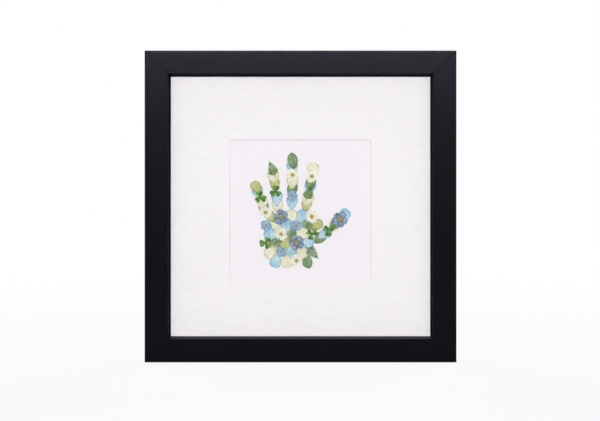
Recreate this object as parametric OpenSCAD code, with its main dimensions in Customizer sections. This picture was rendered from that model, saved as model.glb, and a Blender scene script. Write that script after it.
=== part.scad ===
// Square keepsake frame: four mitred rails hold glass, a bevel-cut window mat and a board with a
// child's handprint laid in pressed flowers. Turn buttons keep the back panel in, an easel strut
// hinged on the panel stands the frame on a table, and a sawtooth plate hangs it on a wall.
// Millimetres. +Z is up, the front faces -Y, and the origin is under the middle of the bottom edge.

/* [Rails] */
// Side of the square glass and boards that the frame takes
picture_w = 203; // [165:1:300]
// Width of a rail, seen from the front
rail_w = 18.5; // [16:0.5:26]
// Depth of a rail, from its front face to its back
rail_d = 20; // [17:0.5:30]
// Width of the rebate that the glass and boards sit in
rebate_w = 6.5; // [5:0.5:8]
// Thickness of the lip in front of the glass
lip_t = 8; // [6:0.5:10]
// How far the lip slopes inwards from the face to the glass
lip_slope = 1.2; // [0:0.1:2]
// Radius of the front outer edge
arris_r = 1.2; // [0.4:0.1:3]
// Radius of the front inner edge, beside the glass
nose_r = 0.6; // [0.2:0.1:1.5]
// Radius of the back outer edge
back_r = 0.5; // [0.2:0.1:1]
// Gap between the boards and the rebate, on each side
fit_gap = 1; // [0.5:0.1:2]
// Glue line between two rails at a mitre
mitre_gap = 0.1; // [0.05:0.05:0.2]

/* [Glass and boards] */
// Thickness of the glass
glass_t = 2; // [1.5:0.1:3]
// Thickness of the window mat
mat_t = 1.4; // [1.2:0.1:2.2]
// Thickness of the board that carries the handprint
board_t = 1.4; // [1:0.1:2.2]
// Thickness of the back panel
panel_t = 3; // [2.2:0.1:4]
// How far the back panel lies below the back of the rails
panel_sink = 0.2; // [0.1:0.1:0.5]
// Bare board between the handprint and the edge of the window
window_margin = 8.5; // [6:0.5:20]
// How far the window sits below the middle of the frame
window_drop = 3; // [0:0.5:6]

/* [Handprint] */
// Height of the handprint, from the heel of the palm to the tip of the middle finger
hand_h = 86; // [70:1:110]
// Clearance between the top flowers and the glass
flower_clear = 0.2; // [0.1:0.05:0.4]

/* [Turn buttons] */
// Length of a turn button from its screw to the middle of its nose
button_reach = 17; // [13:0.5:20]
// Radius of the round end at the screw
button_eye_r = 5; // [4:0.1:5.8]
// Radius of the nose
button_nose_r = 3.5; // [2.5:0.1:4.5]
// Thickness of the plate
button_t = 1; // [0.8:0.1:1.5]
// Radius of the screw's shank
screw_r = 1.5; // [1.2:0.1:1.8]
// Length of the screw in the wood
screw_l = 9; // [7:0.5:11]
// Distance of the top and bottom buttons from the corners of the frame
button_from_corner = 40; // [34:1:45]

/* [Easel] */
// Distance of the hinge pin below the top edge of the frame
hinge_drop = 75; // [60:1:90]
// Angle that the strut opens to
strut_open = 30; // [22:1:40]
// Thickness of the strut
strut_t = 2.5; // [2:0.1:4]
// Width of the strut at its foot
strut_foot_w = 52; // [44:1:58]
// Width of the strut at its head
strut_head_w = 36; // [32:1:42]
// Height of the foot of the folded strut above the bottom edge of the frame
strut_lift = 3; // [1:0.5:10]
// Gap between the folded strut and the back panel
strut_gap = 0.5; // [0.4:0.1:1]
// Thickness of the hinge leaves
leaf_t = 0.8; // [0.6:0.1:1.2]
// Width of the hinge
leaf_w = 30; // [26:1:32]
// Height of each hinge leaf from the pin
leaf_h = 17; // [15:0.5:20]
// Radius of the hinge pin
pin_r = 1; // [0.8:0.1:1.2]

/* [Wall hanger] */
// Length of the sawtooth plate
hanger_w = 44; // [38:1:50]
// Height of the sawtooth plate
hanger_h = 8; // [7:0.5:9]
// Thickness of the sawtooth plate
hanger_t = 0.8; // [0.6:0.1:1]
// How far the teeth stand off the rail
hanger_rise = 1.6; // [1.2:0.1:2.2]
// Number of notches between the teeth
notches = 9; // [5:2:13]

/* [Hidden] */
$fn = 48;
EPS = 0.01;
running = 0.05;                   // radial clearance round a screw, rivet or pin

// Outline of the frame
outer_w = picture_w + 2 * fit_gap - 2 * rebate_w + 2 * rail_w;
half_w = outer_w / 2;
sight_w = outer_w - 2 * rail_w;
window_w = hand_h + 2 * window_margin;
window_z = half_w - window_drop;

// Depths, counted back from the front face of the rails
glass_s = lip_t;
mat_s = glass_s + glass_t;
board_s = mat_s + mat_t;
filler_s = board_s + board_t;
panel_back_s = rail_d - panel_sink;
panel_s = panel_back_s - panel_t;
filler_t = panel_s - filler_s;    // the filler board packs out what the others leave
strut_s = panel_back_s + strut_gap;
strut_back_s = strut_s + strut_t;

// The hinge lies flat on the panel and flat on the strut, which sets the size of its knuckles
knuckle_r = (strut_gap + strut_t + leaf_t) / 2;
axis_s = panel_back_s + knuckle_r;
axis_z = outer_w - hinge_drop;
middle_w = leaf_w * 0.4;          // the strut's knuckle, between the panel's two
knuckle_gap = 0.2;
leaf_clear = 0.3;
arm = knuckle_r - leaf_t;         // from the pin's axis to the near face of each leaf
stop_clear = 0.15;
// The strut leaf runs past the pin, and this tail meets the panel's leaf when the strut is open
stop_h = arm * (cos(strut_open) + 1) / sin(strut_open) - stop_clear;

rivet_r = 1.2;
rivet_head_r = 2.4;
rivet_head_h = 0.8;
rivet_tail_r = 2;
rivet_tail_h = 0.6;
rivet_x = leaf_w / 2 - 5.5;
rivet_up = leaf_h - 5.5;          // from the pin to the rivets

// The back of a rail is its width less the rebate, and what is fixed there sits on its middle line
back_mid = (rail_w - rebate_w) / 2;

// Overall depth, to the heads of the rivets on the folded strut
overall_d = strut_back_s + leaf_t + rivet_head_h;

// Screws of the turn buttons: name, place, and the turn that points the nose at the panel
button_x = half_w - button_from_corner;
BUTTONS = [
    ["top_left",     [-button_x, outer_w - back_mid],       180],
    ["top_right",    [button_x, outer_w - back_mid],        180],
    ["right",        [half_w - back_mid, half_w],           270],
    ["bottom_right", [button_x, back_mid],                  0],
    ["bottom_left",  [-button_x, back_mid],                 0],
    ["left",         [back_mid - half_w, half_w],           90],
];
screw_head_r = 3.2;
screw_head_h = 1.6;

SIDES = ["bottom_rail", "left_rail", "top_rail", "right_rail"];

// Two bent nails lie along each mitre, their points in the wood
nail_t = 0.5;
nail_wing = 4;
nail_l = 8;
nail_spread = 100;
nail_sink = 0.2;                  // driven below the back of the rails
NAIL_INSETS = [back_mid * 0.6, back_mid * 1.35];

hanger_z = outer_w - back_mid - hanger_h / 2;
hanger_nail_x = hanger_w / 2 - 4;
hanger_nail_r = 0.7;
hanger_nail_l = 9;
hanger_head_r = 1.6;
hanger_head_h = 0.6;

// The flowers lie in three layers with the eyes on top, pressed into the depth of the mat
LAYERS = 3;
flower_t = (mat_t - flower_clear) / (LAYERS + 1);
hand_unit = hand_h / 85.5;        // the hand below is drawn 85.5 high

// Length and width of each kind of piece
function piece_size(kind) =
    kind == "blue_petals" ? [11, 8.4] :
    kind == "cream_petals" ? [11, 8.8] :
    kind == "olive_petals" ? [10.4, 7.6] :
    kind == "sage_leaves" ? [12.4, 7.8] :
    kind == "fern_tips" ? [14, 8.5] :
    kind == "clover_leaves" ? [9, 9] :
    kind == "forget_me_nots" ? [8.6, 8.6] :
    kind == "daisies" ? [10, 10] : [12, 12];

FLOWER_KINDS = ["blue_petals", "cream_petals", "olive_petals", "sage_leaves", "fern_tips",
    "clover_leaves", "forget_me_nots", "daisies", "slate_blossoms"];

// Fingers, little finger first: root (x, z), lean from upright, reach to the last piece, layer of
// the first piece, and the pieces from the palm outwards
FINGERS = [
    [[-24, 1], -20, 19.5, 2, ["daisies", "sage_leaves", "cream_petals", "clover_leaves",
        "blue_petals", "olive_petals"]],
    [[-15, 5.5], -8, 27, 0, ["cream_petals", "blue_petals", "clover_leaves", "olive_petals",
        "cream_petals", "fern_tips"]],
    [[-4.5, 8], 1, 31, 1, ["blue_petals", "forget_me_nots", "sage_leaves", "cream_petals",
        "daisies", "blue_petals", "sage_leaves"]],
    [[6, 6], 11, 26.5, 0, ["olive_petals", "cream_petals", "fern_tips", "blue_petals",
        "sage_leaves", "daisies", "cream_petals"]],
    [[16.6, -17.4], 47, 23.5, 0, ["sage_leaves", "blue_petals", "clover_leaves", "cream_petals",
        "sage_leaves", "slate_blossoms", "blue_petals"]],
];

// Rows of the palm from the roots of the fingers to the heel: how many half steps the first piece
// lies from the middle, and the pieces. Each row is half a step across from the last, so that the
// three layers take turns and no two pieces of one layer meet.
PALM = [
    [-4, ["olive_petals", "slate_blossoms", "cream_petals", "blue_petals", "daisies"]],
    [-5, ["forget_me_nots", "cream_petals", "blue_petals", "forget_me_nots", "sage_leaves",
        "olive_petals"]],
    [-4, ["blue_petals", "daisies", "sage_leaves", "cream_petals", "clover_leaves"]],
    [-5, ["clover_leaves", "sage_leaves", "olive_petals", "slate_blossoms", "blue_petals"]],
    [-4, ["cream_petals", "forget_me_nots", "blue_petals", "cream_petals", "fern_tips"]],
    [-3, ["blue_petals", "cream_petals", "daisies", "sage_leaves"]],
];
PALM_CENTRE = [-5, -18.4];
palm_step = 7.5;
HAND_MIDDLE = [1.8, 2.4];         // middle of the drawn hand, set on the middle of the window

// A small turn that differs from piece to piece
golden = 137.508;
function sway(k) = 14 * sin(golden * k * 3);

// A piece is its kind, its place (x, z), its turn from upright and its layer
finger_pieces = [
    for (f = FINGERS, k = [0:len(f[4]) - 1])
        let (along = f[2] * k / (len(f[4]) - 1))
        [f[4][k], f[0] + along * [sin(f[1]), cos(f[1])], f[1] + sway(k), (f[3] + k) % LAYERS]
];
palm_pieces = [
    for (row = [0:len(PALM) - 1], k = [0:len(PALM[row][1]) - 1])
        let (half_steps = PALM[row][0] + 2 * k,
            place = palm_step * [half_steps / 2, ((len(PALM) - 1) / 2 - row) * sin(60)],
            layer = ((half_steps - 3 * row) / 2 + LAYERS * len(PALM)) % LAYERS)
        [PALM[row][1][k], PALM_CENTRE + place, atan2(place[0], place[1]) + sway(k + row), layer]
];
PIECES = concat(palm_pieces, finger_pieces);

// Puts an outline drawn in (x, z) at a depth behind the front face, t thick
module plate(s, t) {
    translate([0, s + t - overall_d / 2, 0])
        rotate([90, 0, 0])
            linear_extrude(t) children();
}

// Puts a shape that stands on the (x, y) plane at (x, z) on a face at depth s, standing out behind
module stud(x, z, s) {
    translate([x, s - overall_d / 2, z]) rotate([-90, 0, 0]) children();
}

function unit(v) = v / norm(v);

// The arc that rounds corner b of the path a, b, c
function round_corner(a, b, c, r, n = 6) =
    let (u = unit(a - b), v = unit(c - b), half = acos(u * v) / 2,
        start = b + u * r / tan(half), end = b + v * r / tan(half),
        centre = b + unit(u + v) * r / sin(half),
        a0 = atan2(start[1] - centre[1], start[0] - centre[0]),
        a1 = atan2(end[1] - centre[1], end[0] - centre[0]),
        turn = a1 - a0 > 180 ? a1 - a0 - 360 : a1 - a0 < -180 ? a1 - a0 + 360 : a1 - a0)
    [for (i = [0:n]) centre + r * [cos(a0 + turn * i / n), sin(a0 + turn * i / n)]];

// A closed outline with every corner rounded
function rounded(path, r) =
    let (n = len(path))
    [for (i = [0:n - 1]) each round_corner(path[(i + n - 1) % n], path[i], path[(i + 1) % n], r)];

// Cross-section of a rail in (depth, height), its outer edge at height 0
module rail_section() {
    face_w = rail_w - lip_slope;
    back_w = rail_w - rebate_w;
    polygon(concat(
        round_corner([rail_d, 0], [0, 0], [0, face_w], arris_r),
        round_corner([0, 0], [0, face_w], [lip_t, rail_w], nose_r),
        [[lip_t, rail_w], [lip_t, back_w], [rail_d, back_w]],
        round_corner([rail_d, back_w], [rail_d, 0], [0, 0], back_r)));
}

// The wedge between the two mitres of the bottom rail
module mitre_wedge() {
    base = half_w + 1;
    back = mitre_gap * sqrt(0.5);
    plate(-1, rail_d + 2)
        translate([0, half_w])
            polygon([[back - base, -base], [base - back, -base], [0, -back]]);
}

// Bent nails across the mitres of all four corners
module mitre_nails() {
    color("silver")
        for (corner = [0:3], inset = NAIL_INSETS)
            plate(rail_d - nail_sink - nail_l, nail_l)
                translate([0, half_w]) rotate(90 * corner)
                    translate([inset - half_w, inset - half_w]) bent_nail();
}

// One nail, seen end on, its bend on the mitre
module bent_nail() {
    polygon(let (side = nail_spread / 2, t = nail_t / sin(side)) [
        [0, 0], nail_wing * [cos(45 - side), sin(45 - side)],
        nail_wing * [cos(45 - side), sin(45 - side)] + t * [sqrt(0.5), sqrt(0.5)],
        t * [sqrt(0.5), sqrt(0.5)],
        nail_wing * [cos(45 + side), sin(45 + side)] + t * [sqrt(0.5), sqrt(0.5)],
        nail_wing * [cos(45 + side), sin(45 + side)],
    ]);
}

// Rail number side, counted from the bottom one; the nails and screws have their holes in it
module rail(side) {
    color([0.09, 0.09, 0.11])
        difference() {
            translate([0, 0, half_w]) rotate([0, 90 * side, 0]) translate([0, 0, -half_w])
                intersection() {
                    translate([-half_w, -overall_d / 2, 0])
                        rotate([90, 0, 90]) linear_extrude(outer_w) rail_section();
                    mitre_wedge();
                }
            mitre_nails();
            for (b = BUTTONS) stud(b[1][0], b[1][1], rail_d + EPS) mirror([0, 0, 1])
                cylinder(r = screw_r + running, h = screw_l + 0.5);
            for (x = [-hanger_nail_x, hanger_nail_x])
                stud(x, hanger_z + hanger_h / 2, rail_d + EPS) mirror([0, 0, 1])
                    cylinder(r = hanger_nail_r + running, h = hanger_nail_l + 0.5);
        }
}

// Square sheet of the picture size
module sheet(s, t) {
    plate(s, t) translate([-picture_w / 2, half_w - picture_w / 2]) square(picture_w);
}

module glass_pane() {
    color([0.8, 0.95, 0.9, 0.3]) sheet(glass_s, glass_t);
}

// Mat with a window cut at 45 degrees, wider on the side of the glass
module window_mat() {
    color("whitesmoke")
        difference() {
            sheet(mat_s, mat_t);
            intersection() {
                window_cut();
                translate([0, 0, window_z]) rotate([0, 90, 0]) translate([0, 0, -window_z])
                    window_cut();
            }
        }
}

// One pair of the window's bevels: a trapezium in plan, upright all the way
module window_cut() {
    reach = window_w / 2;
    translate([0, mat_s - overall_d / 2, window_z - window_w])
        linear_extrude(2 * window_w)
            polygon([
                [-reach - mat_t - 1, -1], [reach + mat_t + 1, -1],
                [reach - 1, mat_t + 1], [1 - reach, mat_t + 1],
            ]);
}

module print_board() {
    color("ghostwhite") sheet(board_s, board_t);
}

module filler_board() {
    color("wheat") sheet(filler_s, filler_t);
}

// Hardboard panel with holes for the hinge's rivets, sunk on the inside for their tails
module back_panel() {
    color("saddlebrown")
        difference() {
            sheet(panel_s, panel_t);
            for (x = [-rivet_x, rivet_x]) stud(x, axis_z + rivet_up, panel_s) rivet_hole(panel_t);
        }
}

// Hole through t of board from its inner face, with the sinking for the tail
module rivet_hole(t) {
    translate([0, 0, -1]) cylinder(r = rivet_r + running, h = t + 2);
    translate([0, 0, -1]) cylinder(r = rivet_tail_r + 2 * running, h = rivet_tail_h + running + 1);
}

// Domed rivet that closes t of board and a hinge leaf, its tail at 0
module rivet(t) {
    cylinder(r = rivet_tail_r, h = rivet_tail_h);
    cylinder(r = rivet_r, h = t + leaf_t + EPS);
    translate([0, 0, t + leaf_t]) dome(rivet_head_r, rivet_head_h);
}

// Flat cap of a sphere, r at its foot and h high
module dome(r, h) {
    ball = (r * r + h * h) / (2 * h);
    intersection() {
        translate([0, 0, h - ball]) sphere(ball);
        cylinder(r = r + 1, h = h + 1);
    }
}

module panel_rivets() {
    color("silver")
        for (x = [-rivet_x, rivet_x]) stud(x, axis_z + rivet_up, panel_s) rivet(panel_t);
}

module strut_rivets() {
    color("silver")
        for (x = [-rivet_x, rivet_x]) stud(x, axis_z - rivet_up, strut_s) rivet(strut_t);
}

// A round bar along X at the hinge's axis, from x0 to x1
module on_axis(x0, x1, r) {
    translate([x0, axis_s - overall_d / 2, axis_z]) rotate([0, 90, 0])
        cylinder(r = r, h = x1 - x0);
}

// Leaf outline above (up = 1) or below (up = -1) the pin, notched for the other leaf's knuckles
module leaf_outline(up) {
    corner_r = 3;
    near = knuckle_r + leaf_clear;
    difference() {
        translate([0, axis_z]) scale([1, up])
            polygon(concat(
                [[-leaf_w / 2, near], [-leaf_w / 2, leaf_h - corner_r]],
                round_corner([-leaf_w / 2, 0], [-leaf_w / 2, leaf_h], [0, leaf_h], corner_r),
                round_corner([0, leaf_h], [leaf_w / 2, leaf_h], [leaf_w / 2, 0], corner_r),
                [[leaf_w / 2, near]]));
        for (x = [-rivet_x, rivet_x])
            translate([x, axis_z + up * rivet_up]) circle(rivet_r + running);
    }
}

// Leaf on the panel, with a knuckle at each end
module hinge_panel_leaf() {
    knuckle_w = (leaf_w - middle_w) / 2 - knuckle_gap;
    color("gainsboro")
        difference() {
            union() {
                plate(panel_back_s, leaf_t) {
                    leaf_outline(1);
                    for (x = [-leaf_w / 2, leaf_w / 2 - knuckle_w])
                        translate([x, axis_z]) square([knuckle_w, knuckle_r + leaf_clear + EPS]);
                }
                for (x = [-leaf_w / 2, leaf_w / 2 - knuckle_w])
                    on_axis(x, x + knuckle_w, knuckle_r);
            }
            on_axis(-leaf_w, leaf_w, pin_r + running);
        }
}

// Leaf on the strut, with the middle knuckle and the tail that stops the strut
module hinge_strut_leaf() {
    knuckle_w = middle_w - knuckle_gap;
    tail_w = knuckle_w - 2;
    color("gainsboro")
        difference() {
            union() {
                plate(strut_back_s, leaf_t) {
                    leaf_outline(-1);
                    translate([-knuckle_w / 2, axis_z - knuckle_r - leaf_clear - EPS])
                        square([knuckle_w, knuckle_r + leaf_clear + EPS]);
                    translate([-tail_w / 2, axis_z - EPS]) square([tail_w, stop_h + EPS]);
                }
                on_axis(-knuckle_w / 2, knuckle_w / 2, knuckle_r);
            }
            on_axis(-leaf_w, leaf_w, pin_r + running);
        }
}

// Pin with a head closed over at each end
module hinge_pin() {
    head_t = 0.7;
    color("silver") {
        on_axis(-leaf_w / 2 - head_t, leaf_w / 2 + head_t, pin_r);
        for (x = [-leaf_w / 2 - head_t, leaf_w / 2]) on_axis(x, x + head_t, pin_r * 1.4);
    }
}

// Tapered leg, square to the table when it is open
module easel_strut() {
    head_z = axis_z - knuckle_r - leaf_clear;
    corner_r = 4;
    color([0.13, 0.12, 0.12])
        difference() {
            plate(strut_s, strut_t)
                polygon(rounded([
                    [-strut_foot_w / 2, strut_lift], [strut_foot_w / 2, strut_lift],
                    [strut_head_w / 2, head_z], [-strut_head_w / 2, head_z],
                ], corner_r));
            for (x = [-rivet_x, rivet_x]) stud(x, axis_z - rivet_up, strut_s) rivet_hole(strut_t);
        }
}

// Two circles, reach apart along the second axis, joined by their tangents
module tapered(r0, r1, reach) {
    lean = asin((r0 - r1) / reach);
    circle(r0);
    translate([0, reach]) circle(r1);
    polygon([
        r0 * [cos(lean), sin(lean)], [0, reach] + r1 * [cos(lean), sin(lean)],
        [0, reach] + r1 * [-cos(lean), sin(lean)], r0 * [-cos(lean), sin(lean)],
    ]);
}

// Pressed plate with a round eye, a narrower nose and a stiffening rib; the nose points up
module turn_button(b) {
    rib_w = button_nose_r * 0.7;
    color("gainsboro")
        translate([b[1][0], 0, b[1][1]]) rotate([0, b[2], 0])
            difference() {
                union() {
                    plate(rail_d, button_t)
                        tapered(button_eye_r, button_nose_r, button_reach);
                    plate(rail_d + button_t - EPS, button_t / 2 + EPS) {
                        translate([-rib_w / 2, button_eye_r]) square([rib_w,
                            button_reach - button_eye_r]);
                        for (z = [button_eye_r, button_reach]) translate([0, z]) circle(rib_w / 2);
                    }
                }
                stud(0, 0, rail_d - 1) cylinder(r = screw_r + running, h = button_t + 2);
            }
}

// Pan head screws that the turn buttons swing on
module turn_button_screws() {
    color("silver")
        for (b = BUTTONS)
            stud(b[1][0], b[1][1], rail_d)
                difference() {
                    union() {
                        translate([0, 0, -screw_l]) cylinder(r = screw_r, h = screw_l + button_t + EPS);
                        translate([0, 0, button_t]) dome(screw_head_r, screw_head_h);
                    }
                    for (turn = [0, 90]) rotate(turn)
                        translate([-1.8, -0.4, button_t + screw_head_h - 0.9]) cube([3.6, 0.8, 2]);
                }
}

// Strip bent so that its middle stands off the rail, toothed along the lower edge of the middle
module sawtooth_hanger() {
    foot = 9;                     // flat length at each end
    bend = 2;                     // length of each slope
    raised = hanger_w / 2 - foot - bend;
    notch_w = 2 * (raised - 1) / notches;
    shift = hanger_t * (sqrt(bend * bend + hanger_rise * hanger_rise) - bend) / hanger_rise;
    front = [[-hanger_w / 2, 0], [-raised - bend, 0], [-raised, hanger_rise],
        [raised, hanger_rise], [raised + bend, 0], [hanger_w / 2, 0]];
    rear = [[hanger_w / 2, hanger_t], [raised + bend + shift, hanger_t],
        [raised + shift, hanger_rise + hanger_t], [-raised - shift, hanger_rise + hanger_t],
        [-raised - bend - shift, hanger_t], [-hanger_w / 2, hanger_t]];
    color("gainsboro")
        difference() {
            translate([0, rail_d - overall_d / 2, hanger_z])
                linear_extrude(hanger_h) polygon(concat(front, rear));
            for (i = [0:notches - 1])
                plate(rail_d + EPS, hanger_rise + hanger_t + 1)
                    translate([(i - (notches - 1) / 2) * notch_w, hanger_z - EPS])
                        polygon([[-notch_w / 2, 0], [notch_w / 2, 0], [0, notch_w * 0.9]]);
            for (x = [-hanger_nail_x, hanger_nail_x])
                stud(x, hanger_z + hanger_h / 2, rail_d - 1)
                    cylinder(r = hanger_nail_r + running, h = hanger_t + 2);
        }
}

module hanger_nails() {
    color("silver")
        for (x = [-hanger_nail_x, hanger_nail_x])
            stud(x, hanger_z + hanger_h / 2, rail_d) {
                translate([0, 0, -hanger_nail_l])
                    cylinder(r = hanger_nail_r, h = hanger_nail_l + hanger_t + EPS);
                translate([0, 0, hanger_t]) dome(hanger_head_r, hanger_head_h);
            }
}

// Pointed leaf between two arcs, upright, its middle at the origin
module lens(l, w) {
    r = (l * l + w * w) / (4 * w);
    intersection() {
        translate([r - w / 2, 0]) circle(r);
        translate([w / 2 - r, 0]) circle(r);
    }
}

// Petal, narrow where it grew and broad at its tip
module petal(l, w) {
    base_r = w * 0.24;
    translate([0, base_r - l / 2]) tapered(base_r, w / 2, l - base_r - w / 2);
}

// Five round petals, each a share of the width across
module five_petals(w, share) {
    petal_r = w * share / 2;
    for (a = [0:72:359]) rotate(a) translate([0, w / 2 - petal_r]) circle(petal_r);
    circle(w / 5);
}

// Narrow rays round a disc
module daisy(w) {
    rays = 13;
    for (i = [0:rays - 1]) rotate(360 / rays * i) translate([0, w * 0.29]) lens(w * 0.42, w * 0.12);
    circle(w * 0.16);
}

// Three leaflets, each of two round lobes, that meet in the middle
module clover(w) {
    lobe = w * 0.155;
    for (a = [0:120:359]) rotate(a) {
        for (x = [-0.8, 0.8]) translate([x * lobe, w / 2 - lobe]) circle(lobe);
        polygon([[0, 0], [-1.7 * lobe, w / 2 - 1.3 * lobe], [0, w / 2 - 0.7 * lobe],
            [1.7 * lobe, w / 2 - 1.3 * lobe]]);
    }
    circle(w / 12);
}

// One side of a frond: leaflets that rise from the stalk and shorten towards the tip
function frond_side(l, w, pairs) =
    let (pitch = l * 0.8 / pairs)
    [for (i = [0:pairs - 1])
        let (root = i * pitch - l * 0.36, reach = w / 2 * (1 - 0.72 * i / pairs))
        each [[0.4, root], [reach * 0.55, root + reach * 0.1], [reach, root + reach * 0.55],
            [0.4, root + pitch * 0.75]]];

// Tip of a fern frond, with a bare stalk below
module fern(l, w) {
    side = frond_side(l, w, 6);
    polygon(concat([[0.4, -l / 2]], side, [[0, l / 2]],
        [for (i = [len(side) - 1:-1:0]) [-side[i][0], side[i][1]]], [[-0.4, -l / 2]]));
}

module piece_outline(kind) {
    l = piece_size(kind)[0];
    w = piece_size(kind)[1];
    if (kind == "sage_leaves") lens(l, w);
    else if (kind == "fern_tips") fern(l, w);
    else if (kind == "clover_leaves") clover(w);
    else if (kind == "forget_me_nots") five_petals(w, 0.42);
    else if (kind == "slate_blossoms") five_petals(w, 0.46);
    else if (kind == "daisies") daisy(w);
    else petal(l, w);
}

// Moves an outline to its place in the handprint, and scales it with the hand
module in_hand(piece, layer) {
    plate(board_s - (layer + 1) * flower_t, flower_t)
        translate([0, window_z]) scale(hand_unit)
            translate(piece[1] - HAND_MIDDLE) rotate(-piece[2]) children();
}

function flower_colour(kind) =
    kind == "blue_petals" ? [0.55, 0.74, 0.9] :
    kind == "cream_petals" ? [0.95, 0.94, 0.82] :
    kind == "olive_petals" ? [0.82, 0.82, 0.55] :
    kind == "sage_leaves" ? [0.52, 0.62, 0.5] :
    kind == "fern_tips" ? [0.3, 0.5, 0.18] :
    kind == "clover_leaves" ? [0.27, 0.47, 0.22] :
    kind == "forget_me_nots" ? [0.42, 0.6, 0.85] :
    kind == "daisies" ? [0.97, 0.96, 0.9] : [0.42, 0.5, 0.66];

module flowers(kind) {
    color(flower_colour(kind))
        for (p = PIECES) if (p[0] == kind) in_hand(p, p[3]) piece_outline(kind);
}

// Centres of the open flowers
module flower_eyes() {
    color([0.8, 0.65, 0.25])
        for (p = PIECES)
            if (p[0] == "daisies" || p[0] == "forget_me_nots" || p[0] == "slate_blossoms")
                in_hand(p, LAYERS) circle(piece_size(p[0])[0] * 0.13);
}

for (side = [0:3]) rail(side);
mitre_nails();
glass_pane();
window_mat();
print_board();
filler_board();
back_panel();
for (kind = FLOWER_KINDS) flowers(kind);
flower_eyes();
hinge_panel_leaf();
hinge_pin();
hinge_strut_leaf();
easel_strut();
panel_rivets();
strut_rivets();
for (b = BUTTONS) turn_button(b);
turn_button_screws();
sawtooth_hanger();
hanger_nails();
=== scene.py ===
"""A black picture frame that stands on an easel strut and shows a handprint of pressed flowers."""

import math

import bmesh
import bpy
import numpy as np
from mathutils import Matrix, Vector
from mathutils.bvhtree import BVHTree


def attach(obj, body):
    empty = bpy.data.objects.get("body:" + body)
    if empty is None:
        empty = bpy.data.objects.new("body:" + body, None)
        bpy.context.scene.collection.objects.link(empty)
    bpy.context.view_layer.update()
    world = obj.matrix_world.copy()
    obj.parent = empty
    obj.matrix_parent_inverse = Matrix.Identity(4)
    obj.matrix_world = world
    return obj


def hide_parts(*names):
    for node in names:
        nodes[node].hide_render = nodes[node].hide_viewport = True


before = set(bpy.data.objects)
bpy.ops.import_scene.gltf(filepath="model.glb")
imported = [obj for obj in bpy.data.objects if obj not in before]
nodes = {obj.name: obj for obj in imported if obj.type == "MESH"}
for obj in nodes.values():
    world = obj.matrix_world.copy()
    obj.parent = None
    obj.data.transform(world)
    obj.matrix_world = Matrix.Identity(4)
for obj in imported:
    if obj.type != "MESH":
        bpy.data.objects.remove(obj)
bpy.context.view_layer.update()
scene = bpy.context.scene
scene.view_settings.view_transform = "Standard"


# The camera looks level at the middle of the frame from straight in front, from about four
# frame widths away, as the photographer did. The lens frames it as the photograph does.
CAMERA_PLACE = (0.0, -0.9122, 0.1145)
CAMERA_LENS = 73.62
CAMERA_SHIFT = (-0.0009, -0.00675)

camera_data = bpy.data.cameras.new("camera")
camera_data.lens = CAMERA_LENS
camera_data.sensor_width = 36
camera_data.shift_x, camera_data.shift_y = CAMERA_SHIFT
camera_data.clip_start, camera_data.clip_end = 0.02, 50
camera = bpy.data.objects.new("camera", camera_data)
camera.location = CAMERA_PLACE
camera.rotation_euler = (math.pi / 2, 0, 0)
scene.collection.objects.link(camera)
scene.camera = camera


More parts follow.
